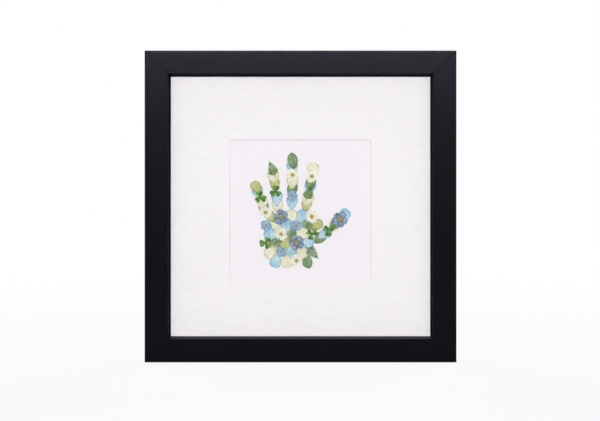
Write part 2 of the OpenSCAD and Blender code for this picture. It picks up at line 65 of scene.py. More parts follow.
# The studio: white paper on the floor that fades into a white room, dim behind the lens. Soft
# boxes stand wide of the lens, over the frame and behind it. The two fills beside the lens are
# polarised, so nothing mirrors them, and the high box only puts a sheen on the lacquer.
class Wire:
    """A node's output that takes part in sums as if it were a number."""

    def __init__(self, tree, socket=None):
        self.tree = tree
        self.socket = socket

    def node(self, kind, settings=None, inputs=None):
        """A new node in this tree: its type, then its settings, then its inputs."""
        made = self.tree.nodes.new(kind)
        for name, value in (settings or {}).items():
            setattr(made, name, value)
        for key, value in (inputs or {}).items():
            socket = made.inputs[key] if isinstance(key, int) else next(
                s for s in made.inputs if s.identifier == key)
            if isinstance(value, Wire):
                self.tree.links.new(value.socket, socket)
            else:
                socket.default_value = value
        return Wire(self.tree, made.outputs[0] if made.outputs else None)

    def __getitem__(self, identifier):
        outputs = self.socket.node.outputs
        return Wire(self.tree, next(s for s in outputs if s.identifier == identifier))

    def maths(self, operation, *values):
        """What a Math node makes of these values."""
        return self.node("ShaderNodeMath", {"operation": operation}, dict(enumerate(values)))

    def of(self, operation, *others):
        """What a Math node makes of this value, and of others where it takes more."""
        return self.maths(operation, self, *others)

    def __add__(self, other):
        return self.maths("ADD", self, other)

    def __sub__(self, other):
        return self.maths("SUBTRACT", self, other)

    def __rsub__(self, other):
        return self.maths("SUBTRACT", other, self)

    def __mul__(self, other):
        return self.maths("MULTIPLY", self, other)

    def __truediv__(self, other):
        return self.maths("DIVIDE", self, other)

    def __rtruediv__(self, other):
        return self.maths("DIVIDE", other, self)

    def __pow__(self, other):
        return self.maths("POWER", self, other)

    def __neg__(self):
        return self.maths("MULTIPLY", self, -1)

    def __abs__(self):
        return self.maths("ABSOLUTE", self)

    def __gt__(self, other):
        return self.maths("GREATER_THAN", self, other)

    def __lt__(self, other):
        return self.maths("LESS_THAN", self, other)

    __radd__ = __add__
    __rmul__ = __mul__

    def step(self, low, high):
        """0 at low, 1 at high, and a smooth rise or fall between them."""
        return self.node("ShaderNodeMapRange", {"interpolation_type": "SMOOTHSTEP"},
                         {"Value": self, "From Min": low, "From Max": high})

    def mix(self, first, second):
        """The first colour where this is 0, the second where it is 1."""
        return self.node("ShaderNodeMix", {"data_type": "RGBA"}, {
            "Factor_Float": self, "A_Color": first, "B_Color": second})["Result_Color"]

    def times(self, *scale):
        """This vector, stretched."""
        return self.node("ShaderNodeVectorMath", {"operation": "MULTIPLY"}, {0: self, 1: scale})

    def axes(self):
        """This vector's x, y and z."""
        split = self.node("ShaderNodeSeparateXYZ", {}, {"Vector": self})
        return split["X"], split["Y"], split["Z"]

    def noise(self, scale, detail=2.0, roughness=0.5):
        """Noise from 0 to 1 with its middle at 0.5, sampled at this vector."""
        return self.node("ShaderNodeTexNoise", {}, {
            "Vector": self, "Scale": scale, "Detail": detail, "Roughness": roughness})

    def bump(self, distance):
        """The normal of a surface whose height is this times the distance, in metres."""
        return self.node("ShaderNodeBump", {}, {"Height": self, "Distance": distance})


def srgb(red, green, blue):
    """The linear colour of three screen values from 0 to 255."""
    return tuple(v / 12.92 if v <= 0.04045 else ((v + 0.055) / 1.055) ** 2.4
                 for v in (red / 255, green / 255, blue / 255)) + (1.0,)


def new_material(name):
    """An empty material, the wire that its nodes start from, and the place in millimetres."""
    material = bpy.data.materials.new(name)
    material.use_nodes = True
    material.node_tree.nodes.clear()
    start = Wire(material.node_tree)
    place = start.node("ShaderNodeTexCoord")["Object"].times(1000, 1000, 1000)
    return material, start, place


def surface(start, **inputs):
    """Closes a material with one Principled surface."""
    values = {name.replace("_", " "): value for name, value in inputs.items()}
    shader = start.node("ShaderNodeBsdfPrincipled", {}, values)
    start.node("ShaderNodeOutputMaterial", {}, {"Surface": shader})


FLOOR_HALF = 4.0
FLOOR_CLEAR = (0.35, 1.3)
PAPER_WHITE = srgb(250, 250, 250)
PAPER_BOUNCE = srgb(150, 150, 152)
PAPER_SHADE = srgb(130, 130, 132)
PAPER_GLOW = 0.86
LAMPS = (
    ("left_box", (-1.05, -1.8, 0.22), (0.6, 0.9), 2.4, "both"),
    ("right_box", (1.05, -1.8, 0.22), (0.6, 0.9), 2.4, "both"),
    ("left_fill", (-0.2, -1.9, 0.26), (0.24, 0.3), 13.3, "matt"),
    ("right_fill", (0.2, -1.9, 0.26), (0.24, 0.3), 13.3, "matt"),
    ("high_box", (0.0, -1.6, 0.76), (1.3, 0.26), 14.4, "shine"),
    ("top_box", (0.0, -0.1, 1.9), (1.6, 1.0), 7.0, "both"),
    ("back_left_box", (-1.3, 1.6, 1.0), (1.0, 1.0), 20.0, "both"),
    ("back_right_box", (1.3, 1.6, 1.0), (1.0, 1.0), 20.0, "both"),
)
LAMP_AIM = Vector((0, 0, 0.11))
ROOM_LIGHT = 0.22
ROOM_MIRRORED = 0.07
ROOM_TURN = (0.1, 0.8)

floor_mesh = bpy.data.meshes.new("floor")
floor_mesh.from_pydata([(-FLOOR_HALF, -FLOOR_HALF, 0), (FLOOR_HALF, -FLOOR_HALF, 0),
                        (FLOOR_HALF, FLOOR_HALF, 0), (-FLOOR_HALF, FLOOR_HALF, 0)],
                       [], [(0, 1, 2, 3)])
floor_paper, start, place = new_material("floor_paper")
away = start.node("ShaderNodeVectorMath", {"operation": "LENGTH"}, {0: place})["Value"] / 1000
ray = start.node("ShaderNodeLightPath")
seen = ray["Is Camera Ray"]
paper = start.node("ShaderNodeBsdfDiffuse", {}, {
    "Color": ray["Is Glossy Ray"].mix(seen.mix(PAPER_BOUNCE, PAPER_WHITE), PAPER_SHADE)})
glow = start.node("ShaderNodeEmission", {}, {"Color": (1, 1, 1, 1), "Strength": 1.0})
lit = start.node("ShaderNodeMixShader", {}, {0: PAPER_GLOW * seen, 1: paper, 2: glow})
gone = start.node("ShaderNodeBsdfTransparent")
faded = start.node("ShaderNodeMixShader", {}, {0: away.step(*FLOOR_CLEAR), 1: lit, 2: gone})
start.node("ShaderNodeOutputMaterial", {}, {"Surface": faded})
floor_mesh.materials.append(floor_paper)
floor = bpy.data.objects.new("floor", floor_mesh)
scene.collection.objects.link(floor)

for name, spot, size, power, acts_on in LAMPS:
    lamp_data = bpy.data.lights.new(name, "AREA")
    lamp_data.shape = "RECTANGLE"
    lamp_data.size, lamp_data.size_y = size
    lamp_data.energy = power
    lamp = bpy.data.objects.new(name, lamp_data)
    lamp.location = spot
    lamp.visible_glossy = acts_on != "matt"
    lamp.visible_diffuse = acts_on != "shine"
    lamp.rotation_euler = (LAMP_AIM - Vector(spot)).to_track_quat("-Z", "Y").to_euler()
    scene.collection.objects.link(lamp)

room = bpy.data.worlds.new("room")
room.use_nodes = True
room.node_tree.nodes.clear()
start = Wire(room.node_tree)
ray = start.node("ShaderNodeLightPath")
depth = start.node("ShaderNodeTexCoord")["Object"].axes()[1]
mirrored = ray["Is Glossy Ray"].of("MAXIMUM", ray["Is Transmission Ray"])
dim = mirrored * (ROOM_MIRRORED - ROOM_LIGHT) + ROOM_LIGHT
seen = ray["Is Camera Ray"].of("MAXIMUM", mirrored * depth.step(*ROOM_TURN))
sky = start.node("ShaderNodeBackground", {}, {
    "Color": (1, 1, 1, 1), "Strength": seen * (1 - dim) + dim})
start.node("ShaderNodeOutputWorld", {}, {"Surface": sky})
scene.world = room


# The rails: four lengths of black lacquered wood moulding, mitred at the corners. The lacquer
# is sprayed, so it has a fine peel, and it is thinner and duller along the eased edges and the
# sight edge. The upward-facing lower sight edge is painted lighter, a painted highlight where
# the light from above falls on it.
RAIL_NODES = ("bottom_rail", "left_rail", "top_rail", "right_rail")
LACQUER = srgb(9, 8, 12)
LACQUER_SHEEN = (0.82, 0.78, 1.0, 1)
LACQUER_THIN = srgb(28, 27, 31)
LACQUER_MATT = srgb(25, 24, 33)
LIP_PAINTED_HIGHLIGHT = srgb(64, 64, 75)
JOINT_BLACK = srgb(3, 3, 5)
LACQUER_ROUGH = 0.22
PEEL_HEIGHT = 0.000005
JOINT_LINE = (0.6, 0.05)
SIGHT_EDGE = (97.35, 96.95)
ARRIS_TURN = (0.998, 0.96)
HIGHLIGHT_TURN = (0.6, 0.95)
GLASS_FRONT = -4.2
FRAME_MIDDLE = 114.5


def dress(material, *names):
    """Gives CAD nodes their material, slot by slot."""
    for name in names:
        slots = nodes[name].data.materials
        for index in range(len(slots)):
            slots[index] = material
        if not slots:
            slots.append(material)


black_lacquer, start, place = new_material("black_lacquer")
x, y, z = place.axes()
outer = abs(x).of("MAXIMUM", abs(z - FRAME_MIDDLE))
facing = start.node("ShaderNodeNewGeometry")["Normal"].axes()
squarely = abs(facing[0]).of("MAXIMUM", abs(facing[1])).of("MAXIMUM", abs(facing[2]))
arris = squarely.step(*ARRIS_TURN)
worn = arris * place.noise(0.35, 4, 0.7).step(0.42, 0.72)
peel = place.noise(1.4, 1) + 0.5 * place.noise(5, 1)
sprayed = start.node("ShaderNodeBsdfPrincipled", {}, {
    "Base Color": worn.mix(LACQUER, LACQUER_THIN),
    "Roughness": LACQUER_ROUGH + 0.15 * worn + 0.03 * place.noise(0.08, 3),
    "Specular IOR Level": 0.32, "Specular Tint": LACQUER_SHEEN,
    "Normal": peel.bump(PEEL_HEIGHT)})
joint = abs(abs(x) - abs(z - FRAME_MIDDLE)).step(*JOINT_LINE)
sight_edge = outer.step(*SIGHT_EDGE) * (y < GLASS_FRONT)
# Painted highlight: the upward-facing part of the sight edge is painted a lighter blue-grey.
painted_highlight = sight_edge * facing[2].step(*HIGHLIGHT_TURN)
thin = start.node("ShaderNodeBsdfPrincipled", {}, {
    "Base Color": joint.mix(painted_highlight.mix(LACQUER_MATT, LIP_PAINTED_HIGHLIGHT), JOINT_BLACK),
    "Roughness": 0.7, "Specular IOR Level": 0.0})
dull = sight_edge.of("MAXIMUM", 0.75 * joint).of("MAXIMUM", 0.85 * arris)
both = start.node("ShaderNodeMixShader", {}, {0: dull, 1: sprayed, 2: thin})
start.node("ShaderNodeOutputMaterial", {}, {"Surface": both})
dress(black_lacquer, *RAIL_NODES)


# The mitre joints: black glue fills each one to just under the lacquer, so the joint shows as
# a fine dark line. It is a thin slab on the corner's diagonal with the rail's own section.
GLUE_WIDE = 0.102
GLUE_INSET = 0.25
FRAME_HALF = 114.5
RAIL_BACK_WIDTH = 12
GLUE_SECTION = ((0, -12.2), (17.3, -12.2), (18.5, -4.2), (RAIL_BACK_WIDTH, -4.2),
                (RAIL_BACK_WIDTH, 7.8), (0, 7.8))
GLUE_MIDDLE = (7.5, 0.0)
GLUE_BLACK = srgb(9, 9, 11)

joint_glue, start, place = new_material("joint_glue")
surface(start, Base_Color=GLUE_BLACK, Roughness=0.6)

inner = [np.array(p) - GLUE_INSET * np.sign(np.array(p) - GLUE_MIDDLE) for p in GLUE_SECTION]
inner[3][0] = inner[4][0] = RAIL_BACK_WIDTH - GLUE_INSET
glue_points, glue_faces = [], []
for side_x, side_z in ((1, 1), (-1, 1), (-1, -1), (1, -1)):
    base, turn = len(glue_points), side_x * side_z
    for half in (-0.5, 0.5):
        shift = half * GLUE_WIDE / math.sqrt(2)
        glue_points += [(side_x * (FRAME_HALF - d + shift) / 1000, y / 1000,
                         (FRAME_MIDDLE + side_z * (FRAME_HALF - d - shift)) / 1000)
                        for d, y in inner]
    count = len(inner)
    ends = [tuple(range(base, base + count)),
            tuple(range(base + 2 * count - 1, base + count - 1, -1))]
    walls = [(base + k, base + count + k, base + count + (k + 1) % count, base + (k + 1) % count)
             for k in range(count)]
    glue_faces += [face if turn > 0 else face[::-1] for face in ends + walls]
glue_mesh = bpy.data.meshes.new("joint_glue")
glue_mesh.from_pydata(glue_points, [], glue_faces)
shell = bmesh.new()
shell.from_mesh(glue_mesh)
bmesh.ops.recalc_face_normals(shell, faces=shell.faces)
shell.to_mesh(glue_mesh)
shell.free()
glue_mesh.materials.append(joint_glue)
joints = bpy.data.objects.new("joint_glue", glue_mesh)
scene.collection.objects.link(joints)
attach(joints, "frame")


# The corner nails, rivets, screws, hanger nails and the hinge pin are bright steel wire, drawn
# and headed, with fine turning marks and a slight stain.
STEEL = srgb(176, 176, 180)
STEEL_STAIN = srgb(120, 112, 102)

nail_steel, start, place = new_material("nail_steel")
stain = place.noise(0.9, 5, 0.7).step(0.5, 0.75)
surface(start, Base_Color=(0.6 * stain).mix(STEEL, STEEL_STAIN), Metallic=1.0,
        Roughness=0.3 + 0.25 * stain, Normal=place.noise(5, 3).bump(0.00003))
dress(nail_steel, "mitre_nails", "hinge_pin", "panel_rivets", "strut_rivets",
      "turn_button_screws", "hanger_nails")


# The glazing: one clean sheet of 2 mm float glass. It mirrors what little there is to mirror
# and lets all other light straight through, so that the picture behind it isn't shaded.
GLASS_TINT = (0.997, 0.999, 0.997, 1)
GLASS_IOR = 1.5

clear_glass, start, place = new_material("clear_glass")
shadow = start.node("ShaderNodeLightPath")["Is Shadow Ray"]
inside = start.node("ShaderNodeNewGeometry")["Backfacing"]
mirrored = start.node("ShaderNodeFresnel", {}, {"IOR": GLASS_IOR}) * (1 - shadow) * (1 - inside)
through = start.node("ShaderNodeBsdfTransparent", {}, {"Color": GLASS_TINT})
shine = start.node("ShaderNodeBsdfGlossy", {}, {"Color": (1, 1, 1, 1), "Roughness": 0.02})
both = start.node("ShaderNodeMixShader", {}, {0: mirrored, 1: through, 2: shine})
start.node("ShaderNodeOutputMaterial", {}, {"Surface": both})
dress(clear_glass, "glass_pane")


# The window mat: white board with a faint linen grain on its face, threads and a few thicker
# slubs, and a smooth core, which shows where the window is cut on the slope. The core is painted
# a touch greyer than the face, painted shade, so that the cut reads as a faint line all round.
WINDOW_MIDDLE = 111.5
WINDOW_FRONT_HALF = 52.9
FACE_PAPER = 0.12
MAT_FACE = srgb(246, 242, 244)
MAT_SHADE = srgb(230, 227, 230)
# The core's colour is a touch greyer than the face: painted shade along the cut.
MAT_CORE_WITH_PAINTED_SHADE = srgb(243, 238, 243)
THREAD_PITCH = 0.62
SLUB_STRETCH = (0.22, 1, 1)

white_mat_board, start, place = new_material("white_mat_board")
x, y, z = place.axes()
edge = abs(x).of("MAXIMUM", abs(z - WINDOW_MIDDLE))
core = edge < WINDOW_FRONT_HALF - FACE_PAPER
turns = 2 * math.pi / THREAD_PITCH
wobble = 0.9 * place.noise(0.6, 2)
across = (x * turns + wobble).of("SINE")
down = (z * turns + wobble).of("SINE")
slubs = place.times(*SLUB_STRETCH).noise(1.1, 3, 0.6) - 0.5
weave = (across + down) * 0.25 + 0.35 * place.noise(3, 3) + 2.4 * slubs
threads = weave * (1 - core)
surface(start, Base_Color=core.mix((0.12 + 0.5 * threads).mix(MAT_FACE, MAT_SHADE), MAT_CORE_WITH_PAINTED_SHADE),
        Roughness=0.85, Specular_IOR_Level=0.15, Normal=threads.bump(0.00005))
dress(white_mat_board, "window_mat")


# The board that carries the picture: smooth heavy paper, white with a breath of lavender, cut
# as large as the window mat that lies on it.
PRINT_WHITE = srgb(241, 236, 241)

print_paper, start, place = new_material("print_paper")
tooth = place.noise(9, 4, 0.6)
surface(start, Base_Color=PRINT_WHITE, Roughness=0.8, Specular_IOR_Level=0.2,
        Normal=tooth.bump(0.00001))
dress(print_paper, "print_board")


# Blue petals: broad, thin petals of a pale blue flower, pressed flat and dried. Like each
# pressed piece, one is a sheet drawn upright in millimetres with its height towards the glass,
# whose points know their place: across, along, and how near the rim.
BLUE_SIZE = (11.0, 8.4)


def ring_sheet(outline, middle, rings, fan_from=None):
    """A flat sheet of rings round its middle. The outline's points go round anticlockwise."""
    spokes = len(outline)
    radii = np.linspace(0, 1, rings + 1)[1:] ** 0.85
    reach = outline - middle
    flat = np.vstack([[middle], (middle + radii[:, None, None] * reach).reshape(-1, 2)])
    rim = np.concatenate([[0], np.repeat(radii, spokes)])
    low, high = outline[:, 1].min(), outline[:, 1].max()
    along = (flat[:, 1] - low) / (high - low)
    if fan_from is None:
        across = flat[:, 0] / (np.abs(outline[:, 0]).max() + 1e-6)
    else:
        across = np.arctan2(flat[:, 0], flat[:, 1] - low + fan_from)
    faces = [(0, 1 + k, 1 + (k + 1) % spokes) for k in range(spokes)]
    for ring in range(rings - 1):
        a, b = 1 + ring * spokes, 1 + (ring + 1) * spokes
        faces += [(a + k, b + k, b + (k + 1) % spokes, a + (k + 1) % spokes)
                  for k in range(spokes)]
    points = np.column_stack([flat, np.zeros(len(flat))])
    return points, np.column_stack([across, along, rim]), faces


def petal_outline(length, width, spokes, seed, waist=0.42, notch=0.0, point=1.0, wave=0.02):
    """The rim of a petal or a leaf, tip up, with its own slight irregularities."""
    rng = np.random.default_rng(seed)
    turn = np.linspace(0, 2 * np.pi, spokes, endpoint=False)
    along = (1 - np.cos(turn)) / 2
    side = np.sin(turn)
    shape = np.sign(side) * np.abs(side) ** point * (waist + (1 - waist) * along ** 1.1)
    shape *= width / 2 / np.abs(shape).max()
    rise = -length / 2 * np.cos(turn)
    rise = rise - notch * length * np.exp(-((turn - np.pi) / 0.16) ** 2)
    ripple = sum(rng.normal() * np.sin(k * turn + rng.uniform(0, 6.3)) / k
                 for k in (2, 3, 5, 8, 13, 21))
    scale = 1 + wave * ripple
    return np.column_stack([shape * scale, rise * (1 + 0.4 * wave * ripple)])


def curl(sheet, seed, cup, flutter):
    """Lifts a sheet's rim in soft waves, and a fold or two over its middle."""
    points, place, faces = sheet
    rng = np.random.default_rng(seed)
    around = np.arctan2(points[:, 0], points[:, 1] - points[0, 1])
    rim = place[:, 2]
    waves = sum(rng.uniform(0.4, 1) * np.sin(k * around + rng.uniform(0, 6.3))
                for k in (2, 3, 5, 7)) / 4
    lean = rng.uniform(-1, 1, 2)
    span = np.abs(points[:, :2]).max()
    fold = np.sin(points[:, 0] * lean[0] * 2.2 + points[:, 1] * lean[1] * 1.4 + seed)
    points[:, 2] += cup * rim ** 2 + flutter * rim ** 3 * (1 + waves) + 0.25 * flutter * fold
    points[:, 2] += 0.2 * flutter * (points[:, 0] * lean[1] - points[:, 1] * lean[0]) / span
    return points, place, faces


def veined(name, body, pale, root, rim, vein, count, fan=True, foot=(0.45, 0.02), mottle=0.5,
           streak=(7.0, 0.8), side_slant=0.6, half=0.0, crease_and_shade=0.25):
    """The paint of a pressed petal or leaf: a paler foot, a darker rim, pale patches, and veins
    and streaks that run out like a fan or in pairs from a midrib. Painted shade darkens the
    creases, and one half of a leaf where half is set."""
    material, start, place = new_material(name)
    own = start.node("ShaderNodeAttribute", {"attribute_name": "place"})["Vector"]
    tint = start.node("ShaderNodeAttribute", {"attribute_name": "tint"})["Fac"]
    across, along, out = own.axes()
    drift = place.noise(0.5, 3) - 0.5
    if fan:
        lines = across * count + drift * 1.4
        main = abs(lines.of("FRACT") - 0.5) * 2
        finer = lines * 3 + drift
        finer = abs(finer.of("FRACT") - 0.5) * 2
        veins = main.step(0.74, 1.0).of("MAXIMUM", finer.step(0.6, 1.0) * 0.4)
        veins = veins * (0.35 + 0.65 * place.noise(0.35, 2).step(0.3, 0.65))
    else:
        slant = along * count - abs(across) * side_slant * count + drift
        lines = abs(slant.of("FRACT") - 0.5) * 2
        midrib = abs(across + drift * 0.08).step(0.13, 0.02)
        veins = (lines.step(0.62, 1.0) * 0.75).of("MAXIMUM", midrib)
    strand = start.node("ShaderNodeCombineXYZ", {}, {
        "X": across * streak[0], "Y": along * streak[1], "Z": tint * 40})
    streaks = strand.noise(1.0, 4, 0.65).step(0.36, 0.7)
    patches = place.noise(0.55, 4, 0.62).step(0.4, 0.68)
    faded = place.noise(0.4, 3, 0.6).step(0.44, 0.66) * (1 - out.step(0.6, 0.95) * 0.7)
    shade = along.step(*foot).mix(faded.mix(body, pale), root)
    # Painted shade: one half of a leaf, on one side of its midrib, is painted towards the vein
    # colour.
    shade = (half * across.step(-0.04, 0.04)).mix(shade, vein)
    shade = (mottle * (0.6 * streaks + 0.5 * patches)).mix(shade, vein)
    shade = (0.62 * veins).mix(shade, vein)
    # Painted shade: the creases are sunk in the bump and also painted darker, towards a deep vein
    # colour.
    bend = abs(place.noise(0.24, 3, 0.6) - 0.5)
    folds = bend.step(0.05, 0.0) * place.noise(0.3, 2).step(0.38, 0.56)
    shade = (crease_and_shade * folds).mix(shade, tuple(0.45 * v for v in vein[:3]) + (1.0,))
    shade = (out.step(0.72, 1.0) * (0.35 + 0.65 * patches)).mix(shade, rim)
    deep = (0.5 * tint).mix((1, 1, 1, 1), (0.86, 0.88, 0.86, 1))
    shade = start.node("ShaderNodeMix", {"data_type": "RGBA", "blend_type": "MULTIPLY"}, {
        "Factor_Float": 1.0, "A_Color": shade, "B_Color": deep})["Result_Color"]
    cells = place.noise(7, 3, 0.65)
    height = cells * 0.3 + streaks * 0.45 - veins * 0.55 - folds * (1.6 * crease_and_shade)
    surface(start, Base_Color=shade, Roughness=0.6 + 0.15 * cells, Specular_IOR_Level=0.3,
            Normal=height.bump(0.00016))
    return material


pressed = {}

blue_petal = veined("blue_petal", body=srgb(167, 210, 231), pale=srgb(216, 236, 241),
                    root=srgb(226, 240, 236),
                    rim=srgb(102, 158, 206), vein=srgb(116, 168, 206), count=7,
                    foot=(0.8, 0.1), mottle=0.4)


def blue_sheet(seed):
    """One blue petal."""
    rim = petal_outline(*BLUE_SIZE, 112, seed, waist=0.36, notch=0.035, wave=0.02)
    made = ring_sheet(rim, (0, 0.6), rings=16, fan_from=1.2)
    return curl(made, seed, cup=0.05, flutter=0.11)


pressed["blue_petals"] = (blue_petal, "blue_petal", blue_sheet)


# Cream petals: broad pressed petals of ivory, gone ochre at the rim and the foot as they
# dried, with a few soft folds.
CREAM_SIZE = (11.0, 8.8)

cream_petal = veined("cream_petal", body=srgb(246, 243, 220), pale=srgb(253, 252, 240),
                     root=srgb(224, 218, 166),
                     rim=srgb(196, 182, 130), vein=srgb(204, 190, 142), count=6, mottle=0.36)


def cream_sheet(seed):
    """One cream petal."""
    rim = petal_outline(*CREAM_SIZE, 112, seed, waist=0.4, wave=0.03)
    made = ring_sheet(rim, (0, 0.6), rings=16, fan_from=1.4)
    return curl(made, seed, cup=0.04, flutter=0.12)


pressed["cream_petals"] = (cream_petal, "cream_petal", cream_sheet)


# Olive petals: yellow-green pressed petals with plain veins and a brown, dried rim. They are a
# little narrower than the blue and the cream ones, and their rims are more uneven.
OLIVE_SIZE = (10.4, 7.6)

olive_petal = veined("olive_petal", body=srgb(208, 213, 146), pale=srgb(230, 232, 182),
                     root=srgb(172, 180, 96),
                     rim=srgb(136, 112, 62), vein=srgb(156, 158, 78), count=6)


def olive_sheet(seed):
    """One olive petal."""
    rim = petal_outline(*OLIVE_SIZE, 104, seed, waist=0.45, notch=0.02, wave=0.035)
    made = ring_sheet(rim, (0, 0.5), rings=15, fan_from=1.3)
    return curl(made, seed, cup=0.05, flutter=0.12)


pressed["olive_petals"] = (olive_petal, "olive_petal", olive_sheet)


# Sage leaves: long grey-green leaves with a raised midrib and slanting side veins. One half is
# painted darker than the other, painted shade as of a leaf folded along its midrib.
SAGE_SIZE = (12.4, 7.8)

sage_leaf = veined("sage_leaf", body=srgb(148, 177, 132), pale=srgb(192, 210, 174),
                   root=srgb(118, 150, 92),
                   rim=srgb(96, 130, 84), vein=srgb(80, 116, 74), count=9, fan=False,
                   half=0.28, crease_and_shade=0.4)


def sage_sheet(seed):
    """One sage leaf, with a ridge along its midrib."""
    rim = petal_outline(*SAGE_SIZE, 112, seed, waist=0.8, point=1.35, wave=0.02)
    points, place, faces = curl(ring_sheet(rim, (0, -0.6), rings=16), seed, cup=0.05, flutter=0.1)
    points[:, 2] += 0.07 * np.exp(-(points[:, 0] / 0.28) ** 2)
    return points, place, faces


pressed["sage_leaves"] = (sage_leaf, "sage_leaf", sage_sheet)


# Fern tips: the ends of fern fronds. Each is six pairs of bright green leaflets up a thin
# stalk, smaller towards its tip, where one more leaflet stands.
FERN_LONG = 14.0
FERN_PAIRS = 6
FERN_FOOT = -3.6
FERN_RUN = 8.4
FERN_SPLAY = 1.02
FERN_LEAFLET = (4.5, 1.2)
FERN_TIP = (3.6, 1.3)
FERN_STALK = (-FERN_LONG / 2, 5.2)
FERN_STALK_HALF = (0.26, 0.16)


def gather(sheets):
    """Several sheets as one."""
    starts = np.cumsum([0] + [len(points) for points, place, faces in sheets])
    faces = [tuple(int(s) + i for i in face)
             for s, (points, place, own) in zip(starts, sheets) for face in own]
    return (np.vstack([s[0] for s in sheets]), np.vstack([s[1] for s in sheets]), faces)


def as_mesh(name, sheet):
    """A sheet as a mesh whose points keep their own places."""
    points, place, faces = sheet
    mesh = bpy.data.meshes.new(name)
    mesh.from_pydata(points.tolist(), [], faces)
    mesh.attributes.new("place", "FLOAT_VECTOR", "POINT").data.foreach_set(
        "vector", place.astype(np.float32).ravel())
    return mesh


def as_sheet(mesh):
    """A mesh from a node tree as a sheet again."""
    points = np.zeros(len(mesh.vertices) * 3, np.float32)
    mesh.vertices.foreach_get("co", points)
    place = np.zeros(len(mesh.vertices) * 3, np.float32)
    mesh.attributes["place"].data.foreach_get("vector", place)
    return (points.reshape(-1, 3).astype(float), place.reshape(-1, 3).astype(float),
            [tuple(p.vertices) for p in mesh.polygons])


def new_growth(name, *labels):
    """An empty node tree with named inputs, its first wire, and its inputs by name."""
    tree = bpy.data.node_groups.new(name, "GeometryNodeTree")
    tree.interface.new_socket("Geometry", in_out="OUTPUT", socket_type="NodeSocketGeometry")
    for label, kind in labels + (("Material", "Material"),):
        tree.interface.new_socket(label, in_out="INPUT", socket_type="NodeSocket" + kind)
    start = Wire(tree)
    made = start.node("NodeGroupInput")
    outputs = made.socket.node.outputs
    return tree, start, {s.name: Wire(tree, s) for s in outputs if s.name}


def chance(index, low, high, seed):
    """A number for each copy, at random between low and high."""
    return index.node("FunctionNodeRandomValue", {"data_type": "FLOAT"}, {
        "Min_001": low, "Max_001": high, "ID": index, "Seed": seed})["Value_001"]


def close_growth(given, spots, part, rotation, scale):
    """Ends a node tree: copies of a part on the spots, as plain mesh with their material."""
    points = spots.node("GeometryNodePoints", {}, {"Count": given["Count"], "Position": spots})
    copies = spots.node("GeometryNodeInstanceOnPoints", {}, {
        "Points": points, "Instance": part, "Rotation": rotation, "Scale": scale})
    real = spots.node("GeometryNodeRealizeInstances", {}, {"Geometry": copies})
    done = spots.node("GeometryNodeSetMaterial", {}, {
        "Geometry": real, "Material": given["Material"]})
    spots.node("NodeGroupOutput", {}, {0: done})


def grow(tree, material, **values):
    """Runs a node tree once with these inputs and gives the plain mesh."""
    host = bpy.data.objects.new("growth", bpy.data.meshes.new("growth"))
    scene.collection.objects.link(host)
    modifier = host.modifiers.new("growth", "NODES")
    modifier.node_group = tree
    names = {item.name: item.identifier for item in tree.interface.items_tree
             if item.in_out == "INPUT"}
    for label, value in {**values, "Material": material}.items():
        modifier[names[label]] = value
    host.update_tag()
    made = bpy.data.meshes.new_from_object(
        host.evaluated_get(bpy.context.evaluated_depsgraph_get()))
    bpy.data.objects.remove(host)
    return made


def grown(tree, leaf, material, **values):
    """A sheet of copies of one leaf or petal, set by a node tree."""
    part = bpy.data.objects.new("part", as_mesh("part", leaf))
    scene.collection.objects.link(part)
    made = as_sheet(grow(tree, material, Part=part, **values))
    bpy.data.objects.remove(part)
    return made


frond, start, given = new_growth(
    "frond", ("Part", "Object"), ("Count", "Int"), ("Foot", "Float"), ("Length", "Float"),
    ("Splay", "Float"), ("Seed", "Int"))
index = start.node("GeometryNodeInputIndex")
pair = (index / 2).of("FLOOR")
side = (index - pair * 2) * 2 - 1
rise = pair / (given["Count"] / 2)
jitter = chance(index, -0.09, 0.09, given["Seed"])
feet = start.node("ShaderNodeCombineXYZ", {}, {
    "X": side * 0.1, "Y": given["Foot"] + given["Length"] * rise, "Z": rise * 0.05})
part = start.node("GeometryNodeObjectInfo", {}, {"Object": given["Part"]})["Geometry"]
turned = start.node("ShaderNodeCombineXYZ", {}, {
    "Z": -side * (given["Splay"] - rise * 0.35) + jitter})
close_growth(given, feet, part, turned, 1.02 - 0.62 * rise ** 1.4)

fern_green = veined("fern_green", body=srgb(98, 158, 52), pale=srgb(146, 196, 88),
                    root=srgb(50, 96, 28),
                    rim=srgb(32, 74, 14), vein=srgb(26, 66, 12), count=5, fan=False)


def fern_sheet(seed):
    """One fern tip."""
    blade = petal_outline(*FERN_LEAFLET, 40, seed, waist=0.9, point=1.15, wave=0.03)
    blade[:, 1] += FERN_LEAFLET[0] / 2
    leaflet = curl(ring_sheet(blade, (0, 2.1), rings=6), seed, cup=0.03, flutter=0.06)
    pairs = grown(frond, leaflet, fern_green, Count=2 * FERN_PAIRS, Foot=FERN_FOOT,
                  Length=FERN_RUN, Splay=FERN_SPLAY, Seed=seed)
    tip = petal_outline(*FERN_TIP, 36, seed + 1, waist=0.9, point=1.3)
    tip[:, 1] += (FERN_LONG - FERN_TIP[0]) / 2
    turn = np.linspace(0, 2 * np.pi, 60, endpoint=False)
    low, high = FERN_STALK
    foot, head = FERN_STALK_HALF
    stalk = np.column_stack([
        np.sin(turn) * (foot - (foot - head) * (1 - np.cos(turn)) / 2),
        (low + high) / 2 - (high - low) / 2 * np.cos(turn)])
    stem = ring_sheet(stalk, (0, (low + high) / 2), rings=3)
    stem[0][:, 2] += 0.1 * (1 - stem[1][:, 2] ** 2)
    top = ring_sheet(tip, (0, tip[:, 1].mean()), rings=5)
    return gather([pairs, stem, top])


pressed["fern_tips"] = (fern_green, "fern_green", fern_sheet)


# Clover leaves: three heart-shaped leaflets on one foot. Their tree sets copies of a part in a
# ring about its foot, each turned, scaled and lifted a little differently.
CLOVER_LEAFLET = (4.5, 4.7)

